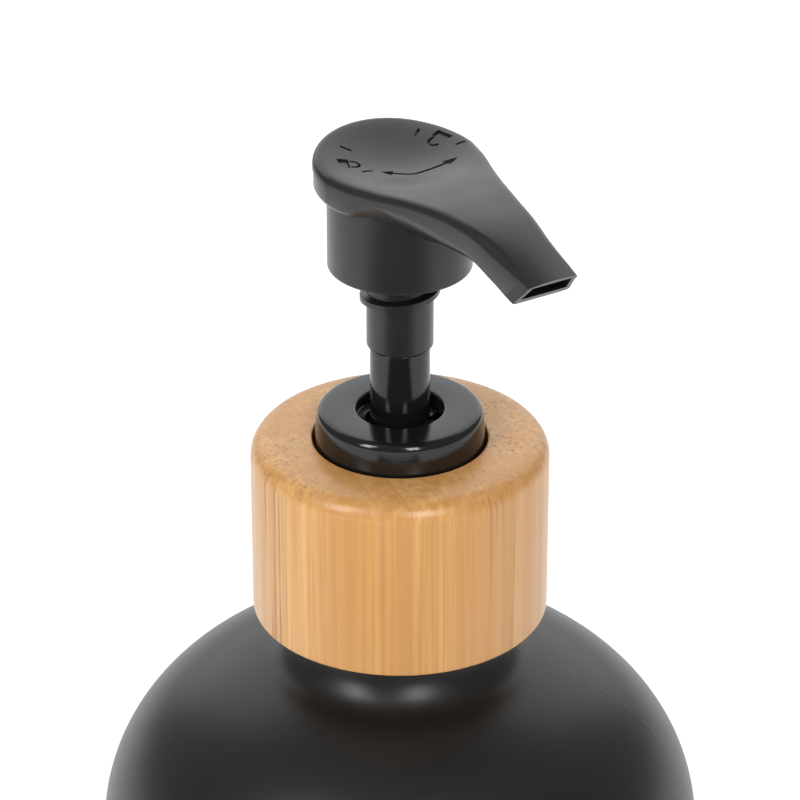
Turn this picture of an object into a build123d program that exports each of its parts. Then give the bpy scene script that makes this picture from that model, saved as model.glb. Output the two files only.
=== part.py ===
from build123d import *
import math
import os

# Soap pump dispenser, in millimetres. Origin: centre of the bottle's base.
# +Z is up and the spout points along -Y.

# ---- bottle ----
bottle_radius = 42.5
straight_height = 82.0          # base to the start of the shoulder
shoulder_reach = 37.5           # radial half-axis of the shoulder's ellipse
shoulder_rise = 30.4            # vertical half-axis of the shoulder's ellipse
bottle_wall = 2.6
base_thickness = 4.2
base_corner = 7.0               # outer radius where the wall turns into the base
foot_width = 4.0                # ring that the bottle stands on
push_up = 1.4                   # hollow under the base, inside the foot
neck_radius = 12.4
neck_wall = 2.7
neck_fillet = 4.5
band_step = 2.1                 # plain band below the cap stands out from the neck
band_cover = 0.2                # band's top above the collar's lower edge
thread_sunk = 0.2               # thread ridges start this deep in their wall

# ---- closure thread, as on a 28/410 neck ----
cap_pitch = 4.233
cap_thread_depth = 1.2
cap_thread_root = 2.0           # width of the thread's ridge at its root
cap_thread_crest = 1.0
bottle_thread_turns = 1.5
cap_thread_turns = 1.25
thread_start = 2.4              # from the mouth down to the thread's upper end
thread_clearance = 0.3          # radial, crest to opposite root

# ---- bamboo collar ----
collar_radius = 20.5
collar_height = 26.1
collar_gap = 6.6                # shoulder to the collar's lower edge, at the neck
collar_web = 4.0                # thickness of the collar's top
collar_edge = 2.6               # rounding of the top outer edge
glue_gap = 0.1

# ---- screw cap ----
cap_wall = 1.6
cap_deck = 1.6
cap_recess = 1.4                # collar's lower edge to the cap's lower edge
deck_hole_gap = 0.7             # deck's hole to the lock ring's sleeve
turn_gap = 0.15                 # between faces that turn on each other

# ---- pump cylinder ----
flange_thickness = 1.4
gasket_thickness = 1.2
flange_margin = 0.6             # flange edge to the cap's thread crest
bore_radius = 6.3
cylinder_wall = 1.2
bore_length = 49.0              # flange top to the bore's floor
floor_thickness = 1.4
snap_neck_height = 4.2          # neck above the flange, which the lock ring clips on
snap_neck_wall = 1.3
snap_bead = 0.25
pocket_radius = 2.9             # inlet ball's pocket
socket_wall = 1.3
socket_depth = 11.0
step_slope = 1.0                # half the height of a sloping step

# ---- lock ring ----
ring_radius = 11.7
ring_taper = 0.4                # loss of radius at the top
ring_proud = 4.4                # ring's top above the collar's top
ring_edge = 0.9
ring_hole_clearance = 0.3       # ring to the collar's hole
ring_sleeve_wall = 1.1
guide_length = 4.2              # sleeve inside the cylinder that guides the stem
lock_zone = 4.0                 # depth of the ring's threaded mouth

# ---- lock thread ----
lock_pitch = 3.0
lock_thread_root = 1.5
lock_thread_crest = 0.7
lock_thread_depth = 0.9         # of the hub's ridge
lock_turns = 1.25
lock_clearance = 0.3
lock_root_gap = 0.54            # hub's ridge to the wall of the ring's mouth

# ---- plunger ----
stem_radius = 4.09
stem_bore = 2.5
stem_step = 0.65                # shoulder where the stem enters the hub
running_gap = 0.06
stem_socket = 12.0              # stem inside the head's hub
tip_collar_radius = 4.7
tip_collar_height = 1.6
tip_bore = 1.1
inlet_radius = 0.88             # cross hole that leads into the tip's bore
tip_spigot = 9.0
tip_nose_radius = 2.5
tip_nose_length = 5.0
piston_height = 5.2
piston_lip = 2.6                # upper lip above the piston's web
piston_wall = 0.7
piston_waist = 0.5
piston_top_gap = 0.25

# ---- spring, seat, ball and dip tube ----
wire_radius = 0.45
spring_radius = 3.6             # to the wire's centre
spring_coils = 7
seat_thickness = 1.4
seat_boss_height = 4.0
seat_slot_width = 1.2
boss_gap = 0.4                  # seat's boss to the spring's wire
ball_radius = 2.2
ball_lift = 1.2
ball_seat = 0.8                 # seat's edge as a share of the ball's radius
tube_radius = 3.1
tube_wall = 0.8
tube_clearance = 3.0            # tube's end to the bottle's floor
tube_bevel = 35.0               # degrees, so that the end can't seal on the floor

# ---- head ----
skirt_height = 26.0             # skirt's lower edge above the collar's top
skirt_radius = 9.75
skirt_wall = 1.3
hub_step = 0.45                 # hub's radius beyond the stem's
hub_drop = 12.0                 # hub's lower end below the skirt's lower edge
hub_chamfer = 0.45
lock_thread_drop = 6.0          # lower end of the hub's thread below the skirt's lower edge
rim_radius = 11.6
rim_back_rise = 17.2            # rim heights above the skirt's lower edge
rim_mid_rise = 15.35
rim_leave = 70.0                # degrees from the spout where its flank leaves the rim
under_rise = 10.7               # where the rim's underside meets the skirt
head_roof = 1.6                 # wall over the soap's way
spout_reach = 36.3
spout_tip_rise = 12.5
spout_undercut = 2.8            # lower lip behind the upper lip
spout_tip_half = 3.6
spout_hump_rise = 15.95
spout_waist_drop = 0.75         # hump's top to the top line at the waist
spout_tip_height = 3.45         # upper lip above the lower lip
keel_rise = 7.0                 # spout's underside at the skirt
keel_waist = 25.5               # reach where the spout's underside is highest
keel_waist_rise = 10.85
keel_waist_half = 5.0           # half the length of the underside's crest
keel_waist_dip = 0.55
keel_lead = 4.0                 # underside's rise just in front of the skirt
keel_lead_rise = 1.9
keel_sunk = 0.5                 # keel's end inside the skirt, below its start
keel_round = 2.3                # height over which the keel rounds up to the spout's sides
keel_flat = 3.0                 # skirt's edge to the end of the keel's rounding
flank_knee = (13.0, 7.25)       # reach and half width where the spout's flank turns
flank_middle = (18.9, 5.55)
flank_neck = (26.1, 4.27)
rim_front = 7.0                 # reach where the rim's top turns up towards the hump
rim_front_lift = 0.05
hump_reach = 18.9
hump_ease = 0.15                # hump's top to the top line at its start
hump_start = 13.0               # reach where the top begins to rise to its hump
dish_radius = 9.6
dish_depth = 1.0
dish_tilt = 6.8                 # degrees, up towards the back
channel_width = 5.7
channel_height = 2.6            # over the skirt
channel_wall = 1.1
lip_wall = 0.45                 # upper lip of the outlet
lip_fall = 0.35                 # fall of the passage's roof beyond the outlet
channel_overrun = 1.0           # passage's cutter beyond the outlet

# ---- levels ----
shoulder_slope = math.sqrt(1 - ((neck_radius - (bottle_radius - shoulder_reach)) / shoulder_reach) ** 2)
neck_root = straight_height + shoulder_rise * shoulder_slope
collar_bottom = neck_root + collar_gap
collar_top = collar_bottom + collar_height
cap_top = collar_top - collar_web
deck_under = cap_top - cap_deck
flange_top = deck_under - turn_gap
flange_under = flange_top - flange_thickness
mouth = flange_under - gasket_thickness - turn_gap
bore_floor = flange_top - bore_length
ring_top = collar_top + ring_proud
guide_bottom = flange_top - guide_length
skirt_bottom = collar_top + skirt_height
hub_bottom = skirt_bottom - hub_drop
piston_top = guide_bottom - piston_top_gap
piston_web_top = piston_top - piston_lip
piston_bottom = piston_top - piston_height
tip_collar_top = piston_bottom - running_gap
tip_collar_bottom = tip_collar_top - tip_collar_height
seat_top = bore_floor + seat_thickness
seat_radius = ball_radius * ball_seat
ball_rest = math.sqrt(ball_radius**2 - seat_radius**2) + running_gap
pocket_floor = bore_floor - ball_rest - ball_radius - ball_lift - running_gap
socket_top = pocket_floor - floor_thickness
socket_bottom = socket_top - socket_depth
cap_inner_radius = neck_radius + cap_thread_depth + thread_clearance
cap_radius = cap_inner_radius + cap_wall
flange_radius = neck_radius + thread_clearance - flange_margin
neck_bore = neck_radius - neck_wall
cylinder_radius = bore_radius + cylinder_wall
snap_radius = bore_radius + snap_neck_wall
snap_top = flange_top + snap_neck_height
sleeve_radius = snap_radius + ring_sleeve_wall
deck_hole_radius = sleeve_radius + deck_hole_gap
hub_radius = stem_radius + hub_step
ring_hole_radius = hub_radius + lock_thread_depth + lock_root_gap
socket_radius = tube_radius + socket_wall


def turned(*points):
    """Solid of revolution about Z from a closed outline of (radius, height) points."""
    outline = Polyline(*[(r, 0, z) for r, z in points], close=True)
    return revolve(make_face(outline), Axis.Z)


def disc(radius, low, high):
    """Round bar along Z."""
    return Pos(0, 0, low) * Cylinder(radius, high - low, align=(Align.CENTER, Align.CENTER, Align.MIN))


def ring(outer, inner, low, high):
    """Plain tube along Z."""
    return disc(outer, low, high) - disc(inner, low, high)


def ridge(root_radius, depth, root_width, crest_width, pitch, turns, start):
    """Right-hand thread ridge. A positive depth stands outwards and a negative one inwards."""
    inward = depth < 0
    path = Helix(pitch, pitch * turns, root_radius)
    into = thread_sunk if inward else -thread_sunk
    section = Plane(origin=path @ 0, x_dir=(1, 0, 0), z_dir=path % 0)
    half_root = root_width / 2
    half_crest = crest_width / 2
    corners = [(into, -half_root), (depth, -half_crest), (depth, half_crest), (into, half_root)]
    profile = Polyline(*corners, close=True)
    return Pos(0, 0, start) * sweep(section * make_face(profile), path=path, is_frenet=True)


def cap_ridge(root_radius, depth, turns, start):
    """Ridge of the closure thread, which the bottle's neck and the cap share."""
    return ridge(root_radius, depth, cap_thread_root, cap_thread_crest, cap_pitch, turns, start)


def body_profile(inset, floor, corner):
    """Solid of the bottle's body without its neck, drawn inset by a wall."""
    centre = bottle_radius - shoulder_reach
    radius = bottle_radius - inset
    flat = radius - corner
    crown = straight_height + shoulder_rise - inset
    with BuildSketch(Plane.XZ) as sketch:
        with BuildLine():
            Line((0, floor), (flat, floor))
            CenterArc((flat, floor + corner), corner, -90, 90)
            Line((radius, floor + corner), (radius, straight_height))
            EllipticalCenterArc(
                (centre, straight_height),
                shoulder_reach - inset,
                shoulder_rise - inset,
                start_angle=0,
                arc_size=90,
            )
            Line((centre, crown), (0, crown))
            Line((0, crown), (0, floor))
        make_face()
    return revolve(sketch.sketch, Axis.Z)


def make_bottle():
    """Glass bottle: round body, elliptical shoulder, threaded neck, ring foot."""
    shell = body_profile(0, 0, base_corner)
    shell += disc(neck_radius, straight_height, mouth)
    shell += disc(neck_radius + band_step, straight_height, collar_bottom + band_cover)
    neck_corner = shell.edges().filter_by_position(Axis.Z, neck_root - neck_wall, neck_root + neck_wall)
    shell = fillet(neck_corner, neck_fillet)
    shell -= body_profile(bottle_wall, base_thickness, base_corner - bottle_wall)
    shell -= disc(neck_bore, straight_height, mouth)
    foot_inner = bottle_radius - base_corner - foot_width
    shell -= turned((0, 0), (foot_inner, 0), (foot_inner - push_up, push_up), (0, push_up))
    thread_low = mouth - thread_start - cap_pitch * bottle_thread_turns
    shell += cap_ridge(neck_radius, cap_thread_depth, bottle_thread_turns, thread_low)
    return shell


def make_screw_cap():
    """Inner closure with the internal thread, which rides half a pitch below the bottle's thread."""
    low = collar_bottom + cap_recess
    cap = ring(cap_radius, cap_inner_radius, low, deck_under)
    cap += ring(cap_radius, deck_hole_radius, deck_under, cap_top)
    thread_low = mouth - thread_start - cap_pitch * bottle_thread_turns - cap_pitch / 2
    cap += cap_ridge(cap_inner_radius, -cap_thread_depth, cap_thread_turns, thread_low)
    return cap


def make_bamboo_collar():
    """Turned bamboo sleeve, glued over the screw cap."""
    sleeve = disc(collar_radius, collar_bottom, collar_top)
    sleeve = fillet(sleeve.edges().group_by(Axis.Z)[-1], collar_edge)
    sleeve -= disc(cap_radius + glue_gap, collar_bottom, cap_top)
    sleeve -= disc(ring_radius + ring_hole_clearance, cap_top, collar_top)
    return sleeve


def make_neck_gasket():
    """Flat seal between the bottle's mouth and the pump's flange."""
    return ring(flange_radius, cylinder_radius + running_gap, flange_under - gasket_thickness, flange_under)


def make_pump_cylinder():
    """Pump housing: flange, snap neck, bore, ball seat and dip tube socket."""
    floor_low = bore_floor - floor_thickness
    outer = turned(
        (0, socket_bottom),
        (socket_radius, socket_bottom),
        (socket_radius, floor_low - step_slope),
        (cylinder_radius, floor_low + step_slope),
        (cylinder_radius, flange_under),
        (flange_radius, flange_under),
        (flange_radius, flange_top),
        (snap_radius, flange_top),
        (snap_radius, snap_top - 4 * snap_bead),
        (snap_radius + snap_bead, snap_top - 3 * snap_bead),
        (snap_radius, snap_top),
        (0, snap_top),
    )
    hollow = turned(
        (0, socket_bottom),
        (tube_radius, socket_bottom),
        (tube_radius, socket_top),
        (seat_radius, socket_top),
        (seat_radius, pocket_floor),
        (pocket_radius, pocket_floor + pocket_radius - seat_radius),
        (pocket_radius, bore_floor),
        (bore_radius, bore_floor),
        (bore_radius, snap_top),
        (0, snap_top),
    )
    return outer - hollow


def make_lock_ring():
    """Collar that clips on the cylinder, guides the stem and takes the head's lock thread."""
    wide_low = cap_top + turn_gap
    top_radius = ring_radius - ring_taper
    outer = turned(
        (0, guide_bottom),
        (bore_radius - running_gap, guide_bottom),
        (bore_radius - running_gap, snap_top + turn_gap),
        (snap_radius + 2 * snap_bead, snap_top + turn_gap),
        (snap_radius + running_gap, flange_top + running_gap),
        (sleeve_radius, flange_top + running_gap),
        (sleeve_radius, wide_low),
        (ring_radius, wide_low),
        (ring_radius, collar_top),
        (top_radius, ring_top),
        (0, ring_top),
    )
    top_edge = outer.edges().filter_by(GeomType.CIRCLE).group_by(Axis.Z)[-1].sort_by(SortBy.RADIUS)[-1]
    outer = fillet(top_edge, ring_edge)
    clear_radius = hub_radius + lock_clearance
    lock_low = ring_top - lock_zone
    hollow = turned(
        (0, guide_bottom),
        (stem_radius + running_gap, guide_bottom),
        (stem_radius + running_gap, flange_top),
        (clear_radius, flange_top + step_slope),
        (clear_radius, lock_low - step_slope),
        (ring_hole_radius, lock_low),
        (ring_hole_radius, ring_top),
        (0, ring_top),
    )
    body = outer - hollow
    thread_depth = ring_hole_radius - clear_radius
    thread_height = lock_zone - lock_thread_root
    body += ridge(
        ring_hole_radius,
        -thread_depth,
        lock_thread_root,
        lock_thread_crest,
        lock_pitch,
        thread_height / lock_pitch,
        lock_low + lock_thread_root / 2,
    )
    return body


def make_stem():
    """Tube that carries the head, stepped down where it enters the head's hub."""
    stem_low = piston_web_top + running_gap
    stem = ring(stem_radius, stem_bore, stem_low, hub_bottom)
    return stem + ring(stem_radius - stem_step, stem_bore, hub_bottom, hub_bottom + stem_socket)


def make_plunger_tip():
    """Lower end of the plunger: spigot in the stem, collar under the piston, nose inside the spring."""
    spigot_top = piston_web_top + tip_spigot
    nose_low = tip_collar_bottom - tip_nose_length
    tip = disc(stem_bore, tip_collar_top, spigot_top)
    tip += disc(tip_collar_radius, tip_collar_bottom, tip_collar_top)
    tip += disc(tip_nose_radius, nose_low, tip_collar_bottom)
    tip -= disc(tip_bore, tip_collar_top + tip_bore, spigot_top)
    inlet_height = tip_collar_top + 2 * tip_bore
    tip -= Pos(0, 0, inlet_height) * Rot(0, 90, 0) * Cylinder(inlet_radius, 4 * stem_bore)
    return tip


def make_piston():
    """Double-lipped seal that slides in the cylinder's bore."""
    lip_radius = bore_radius - running_gap
    web_radius = lip_radius - piston_waist
    hold_radius = stem_bore + running_gap
    return turned(
        (hold_radius, piston_bottom),
        (lip_radius, piston_bottom),
        (lip_radius, piston_bottom + piston_wall),
        (web_radius, piston_bottom + 2 * piston_wall),
        (web_radius, piston_top - 2 * piston_wall),
        (lip_radius, piston_top - piston_wall),
        (lip_radius, piston_top),
        (lip_radius - piston_wall, piston_top),
        (web_radius - piston_wall, piston_web_top),
        (hold_radius, piston_web_top),
    )


def make_return_spring():
    """Steel compression spring from the seat to the plunger tip's collar."""
    low = seat_top + wire_radius
    high = tip_collar_bottom - wire_radius
    path = Helix((high - low) / spring_coils, high - low, spring_radius)
    wire = sweep(Plane(origin=path @ 0, z_dir=path % 0) * Circle(wire_radius), path=path, is_frenet=True)
    return Pos(0, 0, low) * wire


def make_spring_seat():
    """Cage on the bore's floor: it carries the spring and keeps the ball in its pocket."""
    seat = disc(bore_radius - running_gap, bore_floor, seat_top)
    boss_radius = spring_radius - wire_radius - boss_gap
    seat += disc(boss_radius, seat_top, seat_top + seat_boss_height)
    slot_length = 2 * pocket_radius
    for turn in (0, 60, 120):
        slot = Box(slot_length, seat_slot_width, seat_thickness + seat_boss_height)
        seat -= Pos(0, 0, bore_floor + (seat_thickness + seat_boss_height) / 2) * Rot(0, 0, turn) * slot
    return seat


def make_inlet_ball():
    """Steel check ball, at rest on the conical seat."""
    return Pos(0, 0, pocket_floor + ball_rest) * Sphere(ball_radius)


def make_dip_tube():
    """Tube to the bottle's floor, cut slanting at its lower end."""
    low = base_thickness + tube_clearance
    tube = ring(tube_radius, tube_radius - tube_wall, low, socket_top)
    depth = 2 * tube_radius * math.tan(math.radians(tube_bevel))
    wedge = Polyline((-tube_radius, 0, low), (tube_radius, 0, low), (tube_radius, 0, low + depth), close=True)
    cutter = extrude(make_face(wedge), amount=2 * tube_radius, both=True)
    return tube - cutter


def head_plan():
    """Outline of the head from above: a round rim that runs into a tapering spout."""
    leave = math.radians(rim_leave)
    start_x = rim_radius * math.sin(leave)
    start_y = -rim_radius * math.cos(leave)
    flank = [
        (start_x, start_y),
        *[(half, -reach) for reach, half in (flank_knee, flank_middle, flank_neck)],
        (spout_tip_half, -spout_reach),
    ]
    with BuildSketch() as sketch:
        with BuildLine():
            side = Spline(*flank, tangents=[(-math.cos(leave), -math.sin(leave)), (-0.04, -1)])
            mirror(side, about=Plane.YZ)
            Line((spout_tip_half, -spout_reach), (-spout_tip_half, -spout_reach))
            ThreePointArc((start_x, start_y), (0, rim_radius), (-start_x, start_y))
        make_face()
    return sketch.sketch


def top_line():
    """Top of the head from the side, as (reach, height): sloping rim, dip, hump and falling tip."""
    return [
        (-rim_radius, skirt_bottom + rim_back_rise),
        (0, skirt_bottom + rim_mid_rise),
        (rim_front, skirt_bottom + rim_mid_rise + rim_front_lift),
        (hump_start, skirt_bottom + spout_hump_rise - hump_ease),
        (hump_reach, skirt_bottom + spout_hump_rise),
        (keel_waist, skirt_bottom + spout_hump_rise - spout_waist_drop),
        (spout_reach, skirt_bottom + spout_tip_rise),
    ]


def under_line():
    """Underside of the spout from the side, from the lower lip back to the skirt."""
    return [
        (spout_reach - spout_undercut, skirt_bottom + spout_tip_rise - spout_tip_height),
        (keel_waist + keel_waist_half, skirt_bottom + keel_waist_rise - keel_waist_dip),
        (keel_waist, skirt_bottom + keel_waist_rise),
        (keel_waist - keel_waist_half, skirt_bottom + keel_waist_rise - keel_waist_dip),
        (skirt_radius + keel_lead, skirt_bottom + keel_rise + keel_lead_rise),
        (skirt_radius - skirt_wall, skirt_bottom + keel_rise - keel_sunk),
    ]


def side_solid(top, under, half_width):
    """Solid between a top line and an underside, both as (reach, height), carried across the head."""
    with BuildSketch(Plane.YZ) as sketch:
        with BuildLine():
            Spline(*[(-reach, height) for reach, height in top])
            Line((-top[-1][0], top[-1][1]), (-under[0][0], under[0][1]))
            Spline(*[(-reach, height) for reach, height in under])
            Line((-under[-1][0], under[-1][1]), (-top[0][0], top[0][1]))
        make_face()
    return extrude(sketch.sketch, amount=half_width, both=True)


def spout_solid(level):
    """Head and spout under the top line, with the underside narrowing to a rounded keel."""
    form = side_solid(top_line(), under_line(), 2 * rim_radius)
    form += side_solid(top_line()[:3], [(rim_front, level), (-rim_radius, level)], 2 * rim_radius)
    form &= extrude(Pos(0, 0, skirt_bottom) * head_plan(), amount=2 * rim_back_rise)
    keel_low = skirt_bottom + keel_rise - keel_sunk
    keel_half = skirt_radius - keel_flat
    hull = Polyline(
        (0, 0, keel_low),
        (spout_tip_half, 0, keel_low + keel_round),
        (keel_half, 0, level),
        (rim_radius, 0, level + rim_radius - skirt_radius),
        (rim_radius, 0, level + 2 * rim_radius),
        (-rim_radius, 0, level + 2 * rim_radius),
        (-rim_radius, 0, level + rim_radius - skirt_radius),
        (-keel_half, 0, level),
        (-spout_tip_half, 0, keel_low + keel_round),
        close=True,
    )
    form &= extrude(make_face(hull), amount=2 * spout_reach, both=True)
    return form


def head_channel():
    """Soap's way: up the hub, then along the spout as a flat passage to the tip."""
    roof = skirt_bottom + rim_mid_rise - dish_depth - head_roof
    lower_lip = skirt_bottom + spout_tip_rise - spout_tip_height
    beyond = spout_reach + channel_overrun
    high = [
        (0, roof),
        (skirt_radius, roof),
        (keel_waist, skirt_bottom + spout_hump_rise - spout_waist_drop - channel_wall),
        (beyond, skirt_bottom + spout_tip_rise - lip_wall - lip_fall),
    ]
    low = [
        (beyond, lower_lip),
        (spout_reach - spout_undercut, lower_lip + channel_wall),
        (keel_waist, skirt_bottom + keel_waist_rise + channel_wall),
        (skirt_radius, roof - channel_height),
        (0, roof - channel_height),
    ]
    rise = disc(stem_bore, hub_bottom + stem_socket, roof)
    return rise + side_solid(high, low, channel_width / 2)


def make_pump_head():
    """Moulded head: dished rim, spout with a flat passage, skirt, and hub with the lock thread."""
    level = skirt_bottom + under_rise
    head = spout_solid(level)
    head += disc(skirt_radius, skirt_bottom, level + skirt_wall)
    dish_sphere = (dish_radius**2 + dish_depth**2) / (2 * dish_depth)
    dish_floor = skirt_bottom + rim_mid_rise - dish_depth
    head -= Pos(0, 0, dish_floor) * Rot(dish_tilt, 0, 0) * Pos(0, 0, dish_sphere) * Sphere(dish_sphere)
    head -= disc(skirt_radius - skirt_wall, skirt_bottom, level - skirt_wall)
    head += disc(hub_radius, hub_bottom, level)
    head = chamfer(head.edges().group_by(Axis.Z)[0], hub_chamfer)
    head += ridge(
        hub_radius,
        lock_thread_depth,
        lock_thread_root,
        lock_thread_crest,
        lock_pitch,
        lock_turns,
        skirt_bottom - lock_thread_drop,
    )
    head -= disc(stem_radius - stem_step, hub_bottom, hub_bottom + stem_socket)
    head -= head_channel()
    return head


NODES = {
    "bottle": make_bottle,
    "screw_cap": make_screw_cap,
    "bamboo_collar": make_bamboo_collar,
    "neck_gasket": make_neck_gasket,
    "pump_cylinder": make_pump_cylinder,
    "lock_ring": make_lock_ring,
    "pump_head": make_pump_head,
    "stem": make_stem,
    "plunger_tip": make_plunger_tip,
    "piston": make_piston,
    "return_spring": make_return_spring,
    "spring_seat": make_spring_seat,
    "inlet_ball": make_inlet_ball,
    "dip_tube": make_dip_tube,
}

os.makedirs("parts", exist_ok=True)
for node, make in NODES.items():
    export_step(make(), f"parts/{node}.step")
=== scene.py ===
import math

import bmesh
import bpy
from mathutils import Matrix, Vector


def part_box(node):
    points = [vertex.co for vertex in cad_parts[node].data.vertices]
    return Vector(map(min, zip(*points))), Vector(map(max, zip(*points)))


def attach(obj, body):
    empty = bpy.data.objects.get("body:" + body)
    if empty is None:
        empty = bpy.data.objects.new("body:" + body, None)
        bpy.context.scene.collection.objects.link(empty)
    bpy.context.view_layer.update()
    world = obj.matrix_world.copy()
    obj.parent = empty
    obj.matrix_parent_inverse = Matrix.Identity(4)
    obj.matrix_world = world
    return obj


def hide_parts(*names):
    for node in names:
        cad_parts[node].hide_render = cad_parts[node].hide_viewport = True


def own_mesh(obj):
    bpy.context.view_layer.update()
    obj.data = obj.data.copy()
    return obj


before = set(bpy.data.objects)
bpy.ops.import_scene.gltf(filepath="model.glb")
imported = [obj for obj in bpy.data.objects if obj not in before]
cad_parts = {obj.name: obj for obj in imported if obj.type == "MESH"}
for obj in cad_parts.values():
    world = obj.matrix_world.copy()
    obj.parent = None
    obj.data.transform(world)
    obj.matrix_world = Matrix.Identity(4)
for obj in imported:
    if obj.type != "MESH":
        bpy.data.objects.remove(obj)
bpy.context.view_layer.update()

MM = 0.001
FULL_TURN = 2 * math.pi
ROUND_STEPS = 192               # facets round a visible turned piece
SHARP_ANGLE = math.radians(32)


def span(node):
    """Radius, lowest and highest level of a round CAD node, in millimetres."""
    low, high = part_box(node)
    return high.x / MM, low.z / MM, high.z / MM


# ---- levels and radii that the frame gives, in millimetres ----
bottle_radius, _, mouth = span("bottle")
collar_radius, collar_bottom, collar_top = span("bamboo_collar")
cap_radius, _, cap_top = span("screw_cap")
ring_radius, guide_bottom, ring_top = span("lock_ring")
stem_radius, stem_bottom, _ = span("stem")
_, _, snap_top = span("pump_cylinder")
hub_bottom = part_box("pump_head")[0].z / MM
seat_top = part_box("return_spring")[0].z / MM
spring_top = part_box("return_spring")[1].z / MM
spring_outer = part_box("return_spring")[1].x / MM

# ---- bottle ----
straight_height = 82.0
shoulder_reach = 37.5
shoulder_rise = 30.4
bottle_wall = 2.6
base_thickness = 4.2
base_corner = 7.0
push_up = 1.4
foot_width = 4.0                # flat ring that the bottle stands on
foot_slope = 1.4
neck_radius = 12.4
neck_wall = 2.7
band_radius = 14.5              # plain band of the neck below the cap
band_fillet = 4.5
band_cover = 0.2                # the band's edge lies this far inside the collar
cap_pitch = 4.233
cap_turns = 1.5
cap_thread_depth = 1.2
cap_thread_drop = 2.4           # from the mouth down to the thread's upper end

# ---- pump ----
flange_top = 138.75
slide_gap = 0.06
seat_gap = 0.15
glue_gap = 0.1
hole_gap = 0.3
guide_radius = 6.24             # sleeve of the lock collar, inside the cylinder
clip_radius = 7.66              # clip of the lock collar, round the cylinder's bead
clip_flare = 0.44
clip_wall = 1.04
ring_hole = 5.98
lock_clear_radius = 4.84
lock_zone = 4.0
lock_pitch = 3.0
lock_half_root = 0.75
lock_half_crest = 0.35
lock_depth = 0.9                # on the hub
lock_drop = 6.0                 # from the skirt's edge down to the hub thread's lower end
hub_radius = 4.54
stem_bore = 2.5
stem_neck = 3.44                # stem inside the head's hub
stem_socket = 12.0
spring_wire = 0.45
spring_coils = 7

# ---- head, heights above the collar's top ----
skirt_bottom = 26.0
skirt_radius = 9.75
skirt_wall = 1.3
skirt_sunk = 0.8                # the skirt reaches this far up into the rim
bore_sunk = 0.6
rim_radius = 11.6
spout_reach = 36.3
under_level = 36.6              # underside of the rim at the skirt
under_rise = 2.3                # rounding of the rim's underside
bullnose = 1.1                  # rounding of the top's edge
rounding_fades = 28.0           # reach from where that rounding shrinks towards the tip
tip_rounding = 0.25
tip_splay = 0.075               # spout widens by this share per millimetre of depth at the tip
lip = 0.45                      # rim's lip above the parting line
parting = 0.14                  # step at the parting line
dish_radius = 10.3
dish_depth = 1.15
dish_shape = 1.7
spout_crown = 0.4               # extra height along the spout's middle line
crown_starts, crown_full = 14, 30
keel_starts, keel_full = 3, 9
lean_starts = 22.0
groove_depth = 0.3
groove_clear = 1.0
mark_width = 0.4
end_slant = 0.89                # end face leans back this much per millimetre of height
# Stations are (reach from the axis along the spout, value).
HALF_WIDTH = [
    (0, 11.6), (4, 10.75), (8, 9.35), (13, 7.55), (19, 5.9), (26, 4.65), (31, 4.0), (36.3, 3.62),
]
TOP_HEIGHT = [
    (-11.6, 42.85), (-6, 42.0), (0, 41.5), (7, 41.6), (13, 42.15), (19, 42.35), (26, 41.65), (36.3, 38.5),
]
KEEL_HEIGHT = [
    (7, 31.6), (9.75, 33.0), (13.75, 34.9), (20, 36.25), (25.5, 36.75), (31.5, 36.2), (36.3, 35.05),
]
BOXINESS = [(9, 1.15), (16, 2.0), (26, 4.0), (36.3, 9.0)]
# Soap's way: (reach, lowest, highest).
CHANNEL = [(0, 34.6, 37.2), (12, 35.9, 38.4), (20, 37.4, 39.9), (27, 37.9, 39.8), (37.5, 35.65, 38.0)]
channel_half = 2.9

# ---- marks cut into the head's top, as (x, reach) or (x, reach, width) ----
TICKS = [(-5.0, -0.1), (-4.7, -6.0), (6.1, -5.4), (9.5, 0.0)]
tick_half = 0.8
ARROW = [
    (-3.3, 0.6, 0.06), (-2.2, 1.6, 1.6), (-2.15, 1.65, 0.5), (-0.3, 3.3, 0.55), (0.3, 3.5, 0.55),
    (4.9, 3.5, 0.55), (4.95, 3.5, 1.9), (6.9, 3.2, 0.06),
]
lock_body_back = 1.1            # padlock: its body and its shackle, from its middle
lock_body_front = 0.4
lock_body_width = 2.4
shackle_radius = 0.75
shackle_foot = 0.55
shackle_middle = 1.0
padlock_tilt = 0.35

# ---- finishes, in millimetres across the collar or the bottle ----
strip_turn = math.radians(-8)
STRIP_NORMAL = (math.cos(strip_turn), math.sin(strip_turn), 0)
JOINT_HALF = 0.22
STRIPS = [
    (-collar_radius, (0.864, 0.498, 0.156)), (-16.6, (0.713, 0.371, 0.102)), (-10.4, (0.778, 0.408, 0.111)),
    (-6.8, (0.842, 0.488, 0.156)), (-1.6, (0.734, 0.392, 0.123)), (4.4, (0.659, 0.345, 0.107)),
    (8.6, (0.713, 0.392, 0.143)), (14.5, (0.778, 0.456, 0.164)),
]
seam_turn = math.radians(50.5)
SEAM_NORMAL = (math.cos(seam_turn), math.sin(seam_turn), 0)
SEAM_HALF = 0.35

# ---- studio, in metres and degrees ----
floor_half = 6.0
card_size = (0.5, 0.42)
card_azimuth = -34
card_distance = 0.36
card_lift = 0.002
camera_across = 461.25 * MM
camera_above = 251.06 * MM
camera_tilt = 28.04
camera_azimuth = -32
camera_lens = 172.8
camera_sensor = 36
world_light = 0.27
# Softboxes: name, azimuth, elevation, distance, size, radiance.
SOFTBOXES = [
    ("back_panel", 148, 32, 1.6, (2.8, 1.75), 1.15),
    ("front_left", -80, 37, 1.3, (0.3, 0.7), 10.0),
    ("front_right", -13, 37, 1.3, (0.3, 0.7), 10.0),
]


# ---------------------------------------------------------------- mesh helpers

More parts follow.
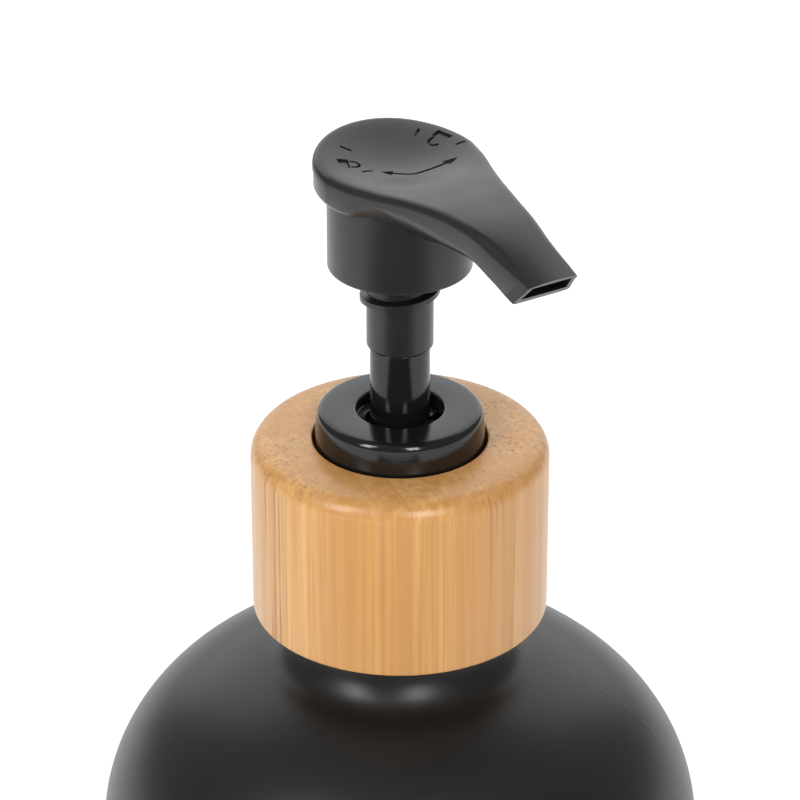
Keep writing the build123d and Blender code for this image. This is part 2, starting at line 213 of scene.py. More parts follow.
def flow(stations, at):
    """Value on a smooth curve through the stations."""
    at = min(max(at, stations[0][0]), stations[-1][0])
    for index in range(len(stations) - 1):
        if at <= stations[index + 1][0]:
            break
    (x0, y0), (x1, y1) = stations[index], stations[index + 1]
    before = stations[max(index - 1, 0)]
    after = stations[min(index + 2, len(stations) - 1)]
    width = x1 - x0
    slope0 = (y1 - before[1]) / (x1 - before[0])
    slope1 = (after[1] - y0) / (after[0] - x0)
    t = (at - x0) / width
    return (
        y0 * (1 + 2 * t) * (1 - t) ** 2
        + slope0 * width * t * (1 - t) ** 2
        + y1 * t * t * (3 - 2 * t)
        + slope1 * width * t * t * (t - 1)
    )


def ease(low, high, value):
    """Smooth step from 0 at low to 1 at high."""
    t = min(max((value - low) / (high - low), 0), 1)
    return t * t * (3 - 2 * t)


def draw_outline(bm, corners, closed=True):
    """Outline in the XZ plane through (radius, height, rounding) corners, in millimetres."""
    verts = [bm.verts.new((r * MM, 0, z * MM)) for r, z, _ in corners]
    pairs = list(zip(verts, verts[1:]))
    if closed:
        pairs.append((verts[-1], verts[0]))
    for pair in pairs:
        bm.edges.new(pair)
    for vert, (_, _, rounding) in zip(verts, corners):
        if rounding:
            bmesh.ops.bevel(
                bm, geom=[vert], offset=rounding * MM, offset_type="OFFSET", affect="VERTICES",
                segments=7, profile=0.5, material=-1,
            )


def turn(bm, steps=ROUND_STEPS):
    """Spins everything drawn so far once round the Z axis and closes the poles."""
    bmesh.ops.spin(
        bm, geom=bm.verts[:] + bm.edges[:], cent=(0, 0, 0), axis=(0, 0, 1), angle=FULL_TURN,
        steps=steps, use_merge=True, use_duplicate=False,
    )
    bmesh.ops.remove_doubles(bm, verts=bm.verts[:], dist=0.002 * MM)
    bmesh.ops.recalc_face_normals(bm, faces=bm.faces[:])


def finish_shape(bm, name):
    """Smooth faces with sharp corners kept, as a new object."""
    for face in bm.faces:
        face.smooth = True
    for edge in bm.edges:
        if len(edge.link_faces) == 2 and edge.calc_face_angle() > SHARP_ANGLE:
            edge.smooth = False
    mesh = bpy.data.meshes.new(name)
    bm.to_mesh(mesh)
    bm.free()
    piece = bpy.data.objects.new(name, mesh)
    bpy.context.scene.collection.objects.link(piece)
    return piece


def turned(name, corners, closed=True, steps=ROUND_STEPS):
    """New piece turned from its outline."""
    bm = bmesh.new()
    draw_outline(bm, corners, closed)
    turn(bm, steps)
    return finish_shape(bm, name)


def thread(name, root, depth, half_root, half_crest, pitch, turns, start, sunk=0.15, steps=64):
    """Right-hand thread ridge, sunk a little into the wall that it stands on, with closed ends."""
    bm = bmesh.new()
    into = root - math.copysign(sunk, depth)
    draw_outline(bm, [
        (into, start - half_root, 0), (root + depth, start - half_crest, 0),
        (root + depth, start + half_crest, 0), (into, start + half_root, 0),
    ])
    bmesh.ops.edgenet_fill(bm, edges=bm.edges[:])
    count = round(steps * turns)
    bmesh.ops.spin(
        bm, geom=bm.faces[:] + bm.edges[:] + bm.verts[:], cent=(0, 0, 0), axis=(0, 0, 1),
        dvec=(0, 0, pitch * turns * MM / count), angle=FULL_TURN * turns, steps=count, use_duplicate=False,
    )
    bmesh.ops.recalc_face_normals(bm, faces=bm.faces[:])
    return finish_shape(bm, name)


def combine(base, tool, operation):
    """Joins or cuts two closed shapes and keeps one clean mesh."""
    change = base.modifiers.new(operation, "BOOLEAN")
    change.operation = operation
    change.solver = "EXACT"
    change.object = tool
    depsgraph = bpy.context.evaluated_depsgraph_get()
    mesh = bpy.data.meshes.new_from_object(base.evaluated_get(depsgraph))
    base.modifiers.clear()
    base.data = mesh
    bpy.data.objects.remove(tool)


def reshade(piece):
    """Marks the sharp corners again after shapes were joined."""
    bm = bmesh.new()
    bm.from_mesh(piece.data)
    bmesh.ops.remove_doubles(bm, verts=bm.verts[:], dist=0.004 * MM)
    for face in bm.faces:
        face.smooth = True
    for edge in bm.edges:
        edge.smooth = not (len(edge.link_faces) == 2 and edge.calc_face_angle() > SHARP_ANGLE)
    bm.to_mesh(piece.data)
    bm.free()


# ---------------------------------------------------------------- materials

MIX_FACTOR = 0                  # places of a Mix node's colour sockets
MIX_COLOURS = (6, 7)
MIX_RESULT = 2


class Signal:
    """A value or colour that changes over a surface, with arithmetic for values."""

    def __init__(self, finish, socket):
        self.finish = finish
        self.socket = socket

    def __add__(self, other):
        return self.finish.maths("ADD", self, other)

    def __radd__(self, other):
        return self.finish.maths("ADD", other, self)

    def __sub__(self, other):
        return self.finish.maths("SUBTRACT", self, other)

    def __rsub__(self, other):
        return self.finish.maths("SUBTRACT", other, self)

    def __mul__(self, other):
        return self.finish.maths("MULTIPLY", self, other)

    def __rmul__(self, other):
        return self.finish.maths("MULTIPLY", other, self)

    def __gt__(self, other):
        return self.finish.maths("GREATER_THAN", self, other)

    def __lt__(self, other):
        return self.finish.maths("LESS_THAN", self, other)


class Finish:
    """One material, built from shader nodes on the piece's own coordinates."""

    def __init__(self, name):
        self.material = bpy.data.materials.new(name)
        self.material.use_nodes = True
        self.tree = self.material.node_tree
        self.tree.nodes.clear()
        self.place = self.node("ShaderNodeTexCoord", output="Object")

    def node(self, kind, settings=(), sockets=(), output=0):
        node = self.tree.nodes.new(kind)
        for name, value in dict(settings).items():
            if name == "stops":
                self.set_stops(node.color_ramp, value)
            else:
                setattr(node, name, value)
        for name, value in dict(sockets).items():
            if isinstance(value, Signal):
                self.tree.links.new(value.socket, node.inputs[name])
            else:
                node.inputs[name].default_value = value
        return Signal(self, node.outputs[output] if node.outputs else None)

    def set_stops(self, ramp, stops):
        while len(ramp.elements) < len(stops):
            ramp.elements.new(1)
        for element, (position, colour) in zip(ramp.elements, stops):
            element.position = position
            element.color = (*colour, 1)

    def maths(self, operation, *values):
        return self.node("ShaderNodeMath", {"operation": operation}, enumerate(values))

    def mixed(self, factor, *colours):
        """Colour between two colours."""
        sockets = {MIX_FACTOR: factor}
        for place, colour in zip(MIX_COLOURS, colours):
            sockets[place] = colour if isinstance(colour, Signal) else (*colour, 1)
        return self.node("ShaderNodeMix", {"data_type": "RGBA"}, sockets, MIX_RESULT)

    def clamped(self, value):
        """The value, kept between 0 and 1."""
        return self.node("ShaderNodeClamp", {}, {"Value": value})

    def across(self, direction):
        """Distance from the axis along a direction, in metres."""
        return self.node(
            "ShaderNodeVectorMath", {"operation": "DOT_PRODUCT"}, {0: self.place, 1: direction}, "Value"
        )

    def noise(self, scale, detail=3, stretch=(1, 1, 1), roughness=0.5):
        place = self.node("ShaderNodeMapping", {}, {"Vector": self.place, "Scale": stretch})
        return self.node("ShaderNodeTexNoise", {}, {
            "Vector": place, "Scale": scale, "Detail": detail, "Roughness": roughness,
        })

    def bump(self, height, distance, strength=1.0):
        return self.node("ShaderNodeBump", {}, {"Height": height, "Distance": distance, "Strength": strength})

    def surface(self, sockets):
        shader = self.node("ShaderNodeBsdfPrincipled", {}, sockets)
        output = self.tree.nodes.new("ShaderNodeOutputMaterial")
        self.tree.links.new(shader.socket, output.inputs["Surface"])
        return self.material


def black_moulding(name, base, roughness, spread, grain):
    """Black polypropylene: cloudy gloss from the mould, a very fine grain and a few dust specks."""
    finish = Finish(name)
    cloud = finish.noise(180, 3)
    fine = finish.noise(2600, 2)
    speck = finish.node("ShaderNodeTexVoronoi", {"feature": "F1"}, {"Vector": finish.place, "Scale": 300})
    dust = (speck < 0.035) * (finish.noise(90, 1) > 0.56)
    colour = finish.mixed(dust * 0.5, base, (0.16, 0.15, 0.15))
    return finish.surface({
        "Base Color": colour,
        "Roughness": roughness + (cloud - 0.5) * spread + dust * 0.3,
        "Normal": finish.bump(fine + cloud, grain * MM),
        "Specular IOR Level": 0.5,
    })


def bottle_coating():
    """Satin black coat on glass: soft sheen, faint orange peel, and the mould's seam under the coat."""
    finish = Finish("satin_black_coat")
    peel = finish.noise(900, 2)
    cloud = finish.noise(45, 3)
    offset = finish.maths("ABSOLUTE", finish.across(SEAM_NORMAL)) * (1 / (SEAM_HALF * MM))
    seam = finish.clamped(1 - offset)
    colour = finish.mixed(cloud, (0.007, 0.0068, 0.0068), (0.010, 0.0097, 0.010))
    return finish.surface({
        "Base Color": colour,
        "Roughness": 0.36 + (cloud - 0.5) * 0.06 + (peel - 0.5) * 0.04,
        "Normal": finish.bump(peel * 0.25 + seam * 0.45, 0.03 * MM),
        "Specular IOR Level": 0.5,
    })


def bamboo():
    """Laminated bamboo with upright fibres: glued strips of different tone, fibre bundles, lacquer."""
    finish = Finish("lacquered_bamboo")
    across = finish.across(STRIP_NORMAL) * (1 / MM)
    wander = (finish.noise(70, 2, (1, 1, 0.15)) - 0.5) * 0.5
    share = (across + wander + collar_radius) * (0.5 / collar_radius)
    strips = finish.node(
        "ShaderNodeValToRGB",
        {"stops": [((edge + collar_radius) / (2 * collar_radius), tone) for edge, tone in STRIPS]},
        {"Fac": share},
    )
    strips.socket.node.color_ramp.interpolation = "CONSTANT"
    grain = finish.noise(1000, 4, (1, 1, 0.012), 0.65)
    streak = finish.noise(260, 3, (1, 1, 0.02), 0.6)
    colour = finish.mixed(finish.clamped((grain - 0.42) * 2.6), (0.60, 0.29, 0.09), strips)
    colour = finish.mixed(finish.clamped((streak - 0.5) * 2.2) * 0.6, colour, (0.86, 0.55, 0.24))
    stretched = finish.node("ShaderNodeMapping", {}, {"Vector": finish.place, "Scale": (1, 1, 0.02)})
    bundle = finish.node("ShaderNodeTexVoronoi", {"feature": "F1"}, {"Vector": stretched, "Scale": 1250})
    crowd = finish.clamped((finish.noise(120, 1, (1, 1, 0.02)) - 0.47) * 5)
    dots = finish.clamped((0.36 - bundle) * 6) * crowd
    colour = finish.mixed(dots * 0.55, colour, (0.33, 0.16, 0.07))
    lines = []
    for edge, _ in STRIPS[1:]:
        offset = finish.maths("ABSOLUTE", across + wander - edge)
        lines.append(finish.clamped(1 - offset * (1 / JOINT_HALF)))
    joints = lines[0]
    for line in lines[1:]:
        joints = joints + line
    colour = finish.mixed(joints * 0.32, colour, (0.50, 0.22, 0.07))
    return finish.surface({
        "Base Color": colour,
        "Roughness": 0.34 + (grain - 0.5) * 0.16 + dots * 0.2,
        "Coat Weight": 0.22 + (streak - 0.5) * 0.1,
        "Coat Roughness": 0.22,
        "Normal": finish.bump(grain * 0.6 - dots - joints * 0.35, 0.05 * MM),
    })


def pale_plastic(name, base, roughness, glow):
    """Natural polyethylene: milky, with soft flow marks."""
    finish = Finish(name)
    cloud = finish.noise(220, 3)
    marks = finish.noise(900, 2, (1, 1, 0.2))
    darker = tuple(channel * 0.92 for channel in base)
    return finish.surface({
        "Base Color": finish.mixed(cloud, darker, base),
        "Roughness": roughness + (cloud - 0.5) * 0.1,
        "Normal": finish.bump(marks, 0.02 * MM),
        "Subsurface Weight": glow,
        "Subsurface Scale": 0.002,
    })


def foam():
    """Foamed polyethylene seal: closed cells and a matte skin."""
    finish = Finish("gasket_foam")
    cells = finish.node("ShaderNodeTexVoronoi", {"feature": "F1"}, {"Vector": finish.place, "Scale": 2600})
    return finish.surface({
        "Base Color": finish.mixed(cells, (0.80, 0.80, 0.77), (0.62, 0.62, 0.6)),
        "Roughness": 0.75 + cells * 0.15,
        "Normal": finish.bump(cells, 0.05 * MM),
    })


def drawn_steel():
    """Stainless wire and ball: polished, with fine drawing marks."""
    finish = Finish("drawn_steel")
    marks = finish.noise(1500, 3, (1, 1, 6))
    return finish.surface({
        "Base Color": finish.mixed(marks, (0.5, 0.5, 0.51), (0.68, 0.68, 0.69)),
        "Metallic": 1.0,
        "Roughness": 0.2 + marks * 0.16,
        "Normal": finish.bump(marks, 0.006 * MM),
    })


def paper_floor():
    """Seamless white studio floor, with a very faint tooth."""
    finish = Finish("studio_floor")
    tooth = finish.noise(400, 2)
    return finish.surface({
        "Base Color": finish.mixed(tooth, (0.93, 0.93, 0.93), (0.96, 0.96, 0.96)),
        "Roughness": 0.9 + (tooth - 0.5) * 0.05,
        "Specular IOR Level": 0.1,
        "Emission Color": (1, 1, 1, 1),
        "Emission Strength": 0.36,
    })


# ---------------------------------------------------------------- pieces

def dress(piece, body, slot, material, *nodes):
    """Gives a new piece its finish and its body, and lets it stand for its CAD nodes."""
    piece.data.materials.clear()
    piece.data.materials.append(material)
    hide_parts(*nodes)
    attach(piece, body)


def shoulder(inset, steps, down):
    """Corners along the shoulder's quarter ellipse, from the wall to the crown or back down."""
    centre = bottle_radius - shoulder_reach
    corners = []
    for step in range(steps + 1):
        angle = math.pi / 2 * step / steps
        radius = centre + (shoulder_reach - inset) * math.cos(angle)
        height = straight_height + (shoulder_rise - inset) * math.sin(angle)
        corners.append((radius, height, 0))
    return corners[::-1] if down else corners


def make_bottle():
    """Round bottle with a domed shoulder, a threaded neck and a ring foot."""
    bore = neck_radius - neck_wall
    outside = [corner for corner in shoulder(0, 40, False) if corner[0] > band_radius + band_fillet + 0.3]
    crown = (band_radius - bottle_radius + shoulder_reach) / shoulder_reach
    band_root = straight_height + shoulder_rise * math.sqrt(1 - crown**2)
    inside = [corner for corner in shoulder(bottle_wall, 30, True) if corner[0] > bore]
    foot = bottle_radius - base_corner
    profile = [
        (0, push_up, 0), (foot - foot_width - foot_slope, push_up, 1.2), (foot - foot_width, 0, 0.6),
        (bottle_radius, 0, base_corner),
        *outside,
        (band_radius, band_root, band_fillet), (band_radius, collar_bottom + band_cover, 0.6),
        (neck_radius, collar_bottom + band_cover, 0), (neck_radius, mouth, 0.5), (bore, mouth, 0.4),
        *inside,
        (bottle_radius - bottle_wall, base_thickness, base_corner - bottle_wall), (0, base_thickness, 0),
    ]
    bottle = turned("bottle_glass", profile, closed=False, steps=256)
    thread_low = mouth - cap_thread_drop - cap_pitch * cap_turns
    ridge = thread("neck_thread", neck_radius, cap_thread_depth, 1.0, 0.5, cap_pitch, cap_turns, thread_low)
    combine(bottle, ridge, "UNION")
    reshade(bottle)
    dress(bottle, "bottle", "bottle", bottle_coating(), "bottle")


def make_collar():
    """Turned bamboo sleeve with a rounded top edge and eased inner edges."""
    hole = ring_radius + hole_gap
    bore = cap_radius + glue_gap
    collar = turned("bamboo_sleeve", [
        (bore, collar_bottom, 0.3), (collar_radius, collar_bottom, 0.35), (collar_radius, collar_top, 2.7),
        (hole, collar_top, 0.35), (hole, cap_top, 0.15), (bore, cap_top, 0),
    ])
    dress(collar, "cap", "bamboo", bamboo(), "bamboo_collar")


def make_ring(material):
    """Glossy collar in the bamboo's hole: rounded edge, threaded mouth, sleeve that guides the stem."""
    wide_low = cap_top + seat_gap
    guide_bore = stem_radius + slide_gap
    clip_low = flange_top + slide_gap
    clip_high = snap_top + seat_gap
    outer = [
        (guide_bore, guide_bottom, 0.2), (guide_radius, guide_bottom, 0.3), (guide_radius, clip_high, 0),
        (clip_radius + clip_flare, clip_high, 0), (clip_radius, clip_low, 0),
        (clip_radius + clip_wall, clip_low, 0), (clip_radius + clip_wall, wide_low, 0),
        (ring_radius, wide_low, 0.2), (ring_radius, collar_top, 0.4), (ring_radius - 0.4, ring_top, 1.05),
    ]
    mouth_low = ring_top - lock_zone
    inner = [
        (ring_hole, ring_top, 0.45), (ring_hole, mouth_low, 0.2), (lock_clear_radius, mouth_low - 1, 0.2),
        (lock_clear_radius, flange_top + 1, 0.2), (guide_bore, flange_top, 0.1),
    ]
    ring = turned("lock_collar", outer + inner)
    lead = thread(
        "lock_lead", ring_hole, lock_clear_radius - ring_hole, lock_half_root, lock_half_crest,
        lock_pitch, 0.8, mouth_low + lock_half_root,
    )
    combine(ring, lead, "UNION")
    reshade(ring)
    dress(ring, "pump_body", "ring_plastic", material, "lock_ring")


def make_stem(material):
    """Tube that carries the head, with its narrower end in the hub."""
    stem = turned("stem_tube", [
        (stem_bore, stem_bottom, 0.15), (stem_radius, stem_bottom, 0.25), (stem_radius, hub_bottom, 0.2),
        (stem_neck, hub_bottom, 0), (stem_neck, hub_bottom + stem_socket, 0.3),
        (stem_bore, hub_bottom + stem_socket, 0),
    ])
    dress(stem, "plunger", "ring_plastic", material, "stem")


def make_spring(material):
    """Compression spring: round wire wound in a helix, at one fixed length; nothing here shortens it as the
    head goes down.
    """
    steps = 36 * spring_coils
    rise = (spring_top - seat_top - 2 * spring_wire) * MM
    bm = bmesh.new()
    start = Matrix.Translation(((spring_outer - spring_wire) * MM, 0, (seat_top + spring_wire) * MM))
    upright = Matrix.Rotation(math.pi / 2, 4, "X")
    bmesh.ops.create_circle(bm, cap_ends=True, segments=12, radius=spring_wire * MM, matrix=start @ upright)
    bmesh.ops.spin(
        bm, geom=bm.faces[:] + bm.edges[:] + bm.verts[:], cent=(0, 0, 0), axis=(0, 0, 1),
        dvec=(0, 0, rise / steps), angle=FULL_TURN * spring_coils, steps=steps, use_duplicate=False,
    )
    bmesh.ops.recalc_face_normals(bm, faces=bm.faces[:])
    spring = finish_shape(bm, "coil_spring")
    dress(spring, "pump_body", "steel", material, "return_spring")
    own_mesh(spring)


# ---- head ----

def edge_rounding(reach):
    """Radius of the top's rounded edge, which fades towards the crisp tip."""
    return bullnose - (bullnose - tip_rounding) * ease(rounding_fades, spout_reach, reach)


def top_level(x, reach):
    """Height of the head's top surface over a point of its plan."""
    level = flow(TOP_HEIGHT, reach)
    radius = math.hypot(x, reach)
    if reach < 0:
        to_edge = rim_radius - radius
    else:
        half = flow(HALF_WIDTH, reach)
        slope = (flow(HALF_WIDTH, reach + 0.5) - flow(HALF_WIDTH, reach - 0.5)) if reach > 0.5 else 0
        to_edge = (half - abs(x)) / math.hypot(1, slope)
        to_edge = min(to_edge, rim_radius - radius) if reach < 1.5 else to_edge
        level += spout_crown * ease(crown_starts, crown_full, reach) * (1 - (x / half) ** 2)
    rounding = edge_rounding(reach)
    gap = min(max(to_edge, 0), rounding)
    level -= rounding - math.sqrt(max(rounding**2 - (rounding - gap) ** 2, 0))
    hollow = max(1 - (radius / dish_radius) ** 2, 0)
    return level - dish_depth * hollow**dish_shape


def parting_level(reach):
    """Height of the parting line, a lip below the end of the top's rounded edge."""
    return flow(TOP_HEIGHT, reach) - edge_rounding(reach) - lip


def under_surface(x, reach):
    """Height of the head's underside: rim around the skirt, rounded keel under the spout."""
    out = min(max((math.hypot(x, reach) - skirt_radius) / (rim_radius - skirt_radius), 0), 1)
    rim = under_level + under_rise * (1 - math.sqrt(1 - out * out))
    if reach <= 0:
        return rim
    half = flow(HALF_WIDTH, reach)
    share = min(abs(x) / half, 1)
    power = flow(BOXINESS, reach)
    keel = flow(KEEL_HEIGHT, reach)
    round_up = 1 - (1 - share**power) ** (1 / power)
    spout = keel + (parting_level(reach) - keel) * round_up
    return rim + (spout - rim) * ease(keel_starts, keel_full, reach)


def under_level_at(x, reach):
    """Height of the underside, never above the parting line."""
    return min(under_surface(x, reach), parting_level(reach))


def plan_point(u, v, inset):
    """Where a point of the unit square lands on the head's plan, as (x, reach)."""
    u = math.sin(u * math.pi / 2)
    if v >= 0:
        v = math.sin(v * math.pi / 2)
        radius = rim_radius - inset
        return radius * u * math.sqrt(1 - v * v / 2), -radius * v * math.sqrt(1 - u * u / 2)
    reach = -v * spout_reach
    return u * (flow(HALF_WIDTH, reach) - inset), reach


def head_sheet(bm, inset, height):
    """Grid over the head's plan at the given height function, with its boundary loop."""
    grid = bmesh.ops.create_grid(bm, x_segments=44, y_segments=116, size=1)
    verts = grid["verts"]
    disc_starts = 0.4
    for vert in verts:
        past = vert.co.y - disc_starts
        v = past / (1 + disc_starts) if past < 0 else past / (1 - disc_starts)
        x, reach = plan_point(vert.co.x, v, inset)
        vert.co = (x, -reach, height(x, reach))
    edges = dict.fromkeys(edge for vert in verts for edge in vert.link_edges)
    return [edge for edge in edges if len(edge.link_faces) == 1]


def drop_edge(bm, edges, level):
    """Extrudes a boundary straight up or down to a level that depends on the reach."""
    made = bmesh.ops.extrude_edge_only(bm, edges=edges)["geom"]
    for vert in (item for item in made if isinstance(item, bmesh.types.BMVert)):
        vert.co.z = level(-vert.co.y)
    return [item for item in made if isinstance(item, bmesh.types.BMEdge) and len(item.link_faces) == 1]


def place_on_collar(bm, name):
    """New shape from one drawn in millimetres above the collar's top."""
    bmesh.ops.recalc_face_normals(bm, faces=bm.faces[:])
    bmesh.ops.scale(bm, vec=(MM, MM, MM), verts=bm.verts[:])
    bmesh.ops.translate(bm, vec=(0, 0, collar_top * MM), verts=bm.verts[:])
    return finish_shape(bm, name)


def make_shell():
    """Closed solid of the rim and spout, between the top and the underside."""
    bm = bmesh.new()
    top = head_sheet(bm, 0, top_level)
    under = head_sheet(bm, parting, under_level_at)
    lip_loop = drop_edge(bm, top, parting_level)
    ledge_loop = drop_edge(bm, under, parting_level)
    bmesh.ops.bridge_loops(bm, edges=lip_loop + ledge_loop)
    bmesh.ops.remove_doubles(bm, verts=bm.verts[:], dist=0.003)
    return place_on_collar(bm, "head_shell")


def make_channel():
    """Soap's way from the hub to the outlet, as a closed shape to cut out, with no walls across it."""
    bm = bmesh.new()
    start_reach, low, high = CHANNEL[0]
    verts = [
        bm.verts.new((x, -start_reach, z))
        for x, z in ((-channel_half, low), (channel_half, low), (channel_half, high), (-channel_half, high))
    ]
    loop = bm.faces.new(verts)
    for section, (reach, low, high) in enumerate(CHANNEL[1:]):
        made = bmesh.ops.extrude_face_region(bm, geom=[loop])["geom"]
        if section > 0:
            bmesh.ops.delete(bm, geom=[loop], context="FACES_ONLY")
        loop = next(item for item in made if isinstance(item, bmesh.types.BMFace))
        middle = sum(vert.co.z for vert in loop.verts) / 4
        for vert in loop.verts:
            vert.co.y = -reach
            vert.co.z = high if vert.co.z > middle else low
    return place_on_collar(bm, "soap_way")


def add_groove(bm, path):
    """Closed ribbon that cuts a groove into the head's top along (x, reach, width) points."""
    rings = []
    for index, (x, reach, width) in enumerate(path):
        before = path[max(index - 1, 0)]
        after = path[min(index + 1, len(path) - 1)]
        way = Vector((after[0] - before[0], after[1] - before[1])).normalized()
        side = Vector((way.y, -way.x)) * width / 2
        ring = []
        for sign, above in ((-1, 0), (1, 0), (1, 1), (-1, 1)):
            at_x = x + sign * side.x
            at_reach = reach + sign * side.y
            level = top_level(at_x, at_reach)
            height = level + groove_clear if above else level - groove_depth
            ring.append(bm.verts.new((at_x, -at_reach, height)))
        rings.append(ring)
    for first, second in zip(rings, rings[1:]):
        for corner in range(4):
            following = (corner + 1) % 4
            bm.faces.new((first[corner], first[following], second[following], second[corner]))
    bm.faces.new(rings[0])
    bm.faces.new(rings[-1])


def padlock(x, reach, towards, lift):
    """Grooves of a small padlock whose shackle points at an angle; a lifted shackle shows it open."""
    along = Vector((math.cos(towards), math.sin(towards)))
    across = Vector((-along.y, along.x))
    centre = Vector((x, reach))
    body = [centre - along * lock_body_back, centre + along * lock_body_front]
    shackle = [centre + across * shackle_radius + along * shackle_foot]
    for step in range(9):
        angle = math.pi * step / 8
        sideways = shackle_radius * math.cos(angle)
        onwards = shackle_radius * math.sin(angle) + shackle_middle + lift
        shackle.append(centre + across * sideways + along * onwards)
    if not lift:
        shackle.append(centre - across * shackle_radius + along * shackle_foot)
    return [
        [(point.x, point.y, lock_body_width) for point in body],
        [(point.x, point.y, mark_width) for point in shackle],
    ]


def make_marks():
    """Grooves on the head: a closed padlock, an open padlock, ticks beside them and a double arrow."""
    bm = bmesh.new()
    grooves = padlock(-6.7, -2.6, padlock_tilt, 0) + padlock(8.2, -2.9, math.pi - padlock_tilt, 0.45)
    for x, reach in TICKS:
        out = Vector((x, reach)).normalized() * tick_half
        grooves.append([(x - out.x, reach - out.y, mark_width), (x + out.x, reach + out.y, mark_width)])
    grooves.append(ARROW)
    for groove in grooves:
        add_groove(bm, groove)
    return place_on_collar(bm, "marks")


def make_head(material):
    """Moulded head: dished top, spout, skirt, hub with the lock thread, and the soap's way."""
    head = make_shell()
    rim = collar_top + under_level
    edge = collar_top + skirt_bottom
    skirt_bore = skirt_radius - skirt_wall
    socket_top = hub_bottom + stem_socket
    skirt = turned("skirt", [
        (0, rim + skirt_sunk, 0), (skirt_radius, rim + skirt_sunk, 0),
        (skirt_radius, edge, 0.35), (skirt_bore, edge, 0.35), (skirt_bore, rim - skirt_wall, 0.6),
        (hub_radius, rim - skirt_wall, 0.3), (hub_radius, hub_bottom, 0.45),
        (stem_neck, hub_bottom, 0.1), (stem_neck, socket_top, 0),
        (stem_bore, socket_top, 0), (stem_bore, rim - bore_sunk, 0), (0, rim - bore_sunk, 0),
    ], closed=False)
    combine(head, skirt, "UNION")
    lock = thread(
        "hub_lead", hub_radius, lock_depth, lock_half_root, lock_half_crest,
        lock_pitch, 1.25, edge - lock_drop,
    )
    combine(head, lock, "UNION")
    combine(head, make_channel(), "DIFFERENCE")
    combine(head, make_marks(), "DIFFERENCE")
    lean_end(head)
    reshade(head)
    dress(head, "plunger", "black_plastic", material, "pump_head")


def lean_end(head):
    """Leans the spout's end face back and widens its lower lip."""
    for vert in head.data.vertices:
        reach = -vert.co.y / MM
        below = flow(TOP_HEIGHT, reach) + collar_top - vert.co.z / MM
        share = ease(lean_starts, spout_reach, reach)
        vert.co.y += end_slant * below * share * MM
        vert.co.x *= 1 + tip_splay * below * share


# ---------------------------------------------------------------- assembly

gloss_black = black_moulding("gloss_black", (0.008, 0.008, 0.0085), 0.12, 0.04, 0.006)
head_black = black_moulding("semi_gloss_black", (0.015, 0.0142, 0.0155), 0.31, 0.05, 0.008)
cap_black = black_moulding("matte_black", (0.03, 0.03, 0.032), 0.5, 0.08, 0.03)
milky = pale_plastic("milky_plastic", (0.84, 0.85, 0.86), 0.42, 0.12)
steel = drawn_steel()

make_bottle()
make_collar()
make_ring(gloss_black)
make_stem(gloss_black)
make_head(head_black)
make_spring(steel)

INNER = {
    "screw_cap": cap_black, "neck_gasket": foam(), "pump_cylinder": milky, "plunger_tip": milky,
    "piston": milky, "spring_seat": milky, "inlet_ball": steel, "dip_tube": milky,
}
for node, material in INNER.items():
    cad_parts[node].data.materials.clear()
    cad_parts[node].data.materials.append(material)


# ---------------------------------------------------------------- studio

def heading(azimuth, elevation):
    """Unit vector from the bottle towards a place in the studio; azimuth 0 is on the spout's side."""
    around = math.radians(azimuth)
    up = math.radians(elevation)
    return Vector((math.sin(around) * math.cos(up), -math.cos(around) * math.cos(up), math.sin(up)))


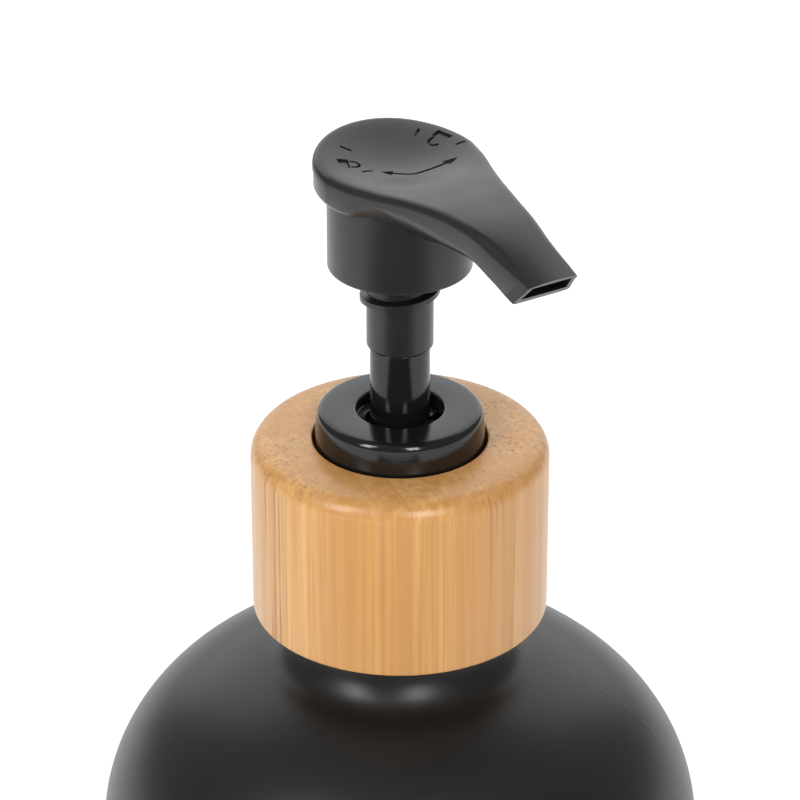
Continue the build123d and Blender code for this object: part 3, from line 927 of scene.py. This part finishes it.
def add_softbox(name, azimuth, elevation, distance, size, radiance):
    """Rectangular area light that faces the pump."""
    light = bpy.data.lights.new(name, "AREA")
    light.shape = "RECTANGLE"
    light.size, light.size_y = size
    light.energy = radiance * math.pi * size[0] * size[1]
    lamp = bpy.data.objects.new(name, light)
    lamp.location = heading(azimuth, elevation) * distance + Vector((0, 0, collar_top * MM))
    lamp.rotation_euler = heading(azimuth, elevation).to_track_quat("Z", "Y").to_euler()
    bpy.context.scene.collection.objects.link(lamp)


def add_floor():
    """Wide pale floor that the bottle stands on."""
    bm = bmesh.new()
    bmesh.ops.create_grid(bm, x_segments=2, y_segments=2, size=floor_half)
    floor = finish_shape(bm, "studio_floor")
    floor.data.materials.append(paper_floor())


def add_flag():
    """Dark card low at the front, which only the gloss of the black mouldings picks up."""
    bm = bmesh.new()
    bmesh.ops.create_grid(bm, x_segments=2, y_segments=2, size=0.5)
    bmesh.ops.scale(bm, vec=(*card_size, 1), verts=bm.verts[:])
    card = finish_shape(bm, "dark_card")
    finish = Finish("dark_card")
    tooth = finish.noise(60, 2)
    card.data.materials.append(finish.surface({
        "Base Color": finish.mixed(tooth, (0.02, 0.02, 0.02), (0.03, 0.03, 0.03)),
        "Roughness": 0.8 + tooth * 0.1,
    }))
    card.location = heading(card_azimuth, 0) * card_distance + Vector((0, 0, card_lift))
    card.rotation_euler.z = math.radians(card_azimuth)
    card.visible_camera = False
    card.visible_diffuse = False
    card.visible_shadow = False


def add_camera():
    """Camera at the front left, above the pump, with a long lens."""
    camera = bpy.data.cameras.new("camera")
    camera.lens = camera_lens
    camera.sensor_width = camera_sensor
    camera.clip_start = 0.01
    holder = bpy.data.objects.new("camera", camera)
    azimuth = math.radians(camera_azimuth)
    holder.location = (
        camera_across * math.sin(azimuth), -camera_across * math.cos(azimuth), collar_top * MM + camera_above
    )
    holder.rotation_euler = (math.radians(90 - camera_tilt), 0, azimuth)
    bpy.context.scene.collection.objects.link(holder)
    bpy.context.scene.camera = holder


def add_studio():
    """White surroundings, one wide panel behind the pump and two narrow softboxes before it."""
    world = bpy.data.worlds.new("studio")
    world.use_nodes = True
    world.node_tree.nodes["Background"].inputs["Color"].default_value = (1, 1, 1, 1)
    world.node_tree.nodes["Background"].inputs["Strength"].default_value = world_light
    bpy.context.scene.world = world
    bpy.context.scene.view_settings.view_transform = "Standard"
    for softbox in SOFTBOXES:
        add_softbox(*softbox)


add_floor()
add_flag()
add_camera()
add_studio()
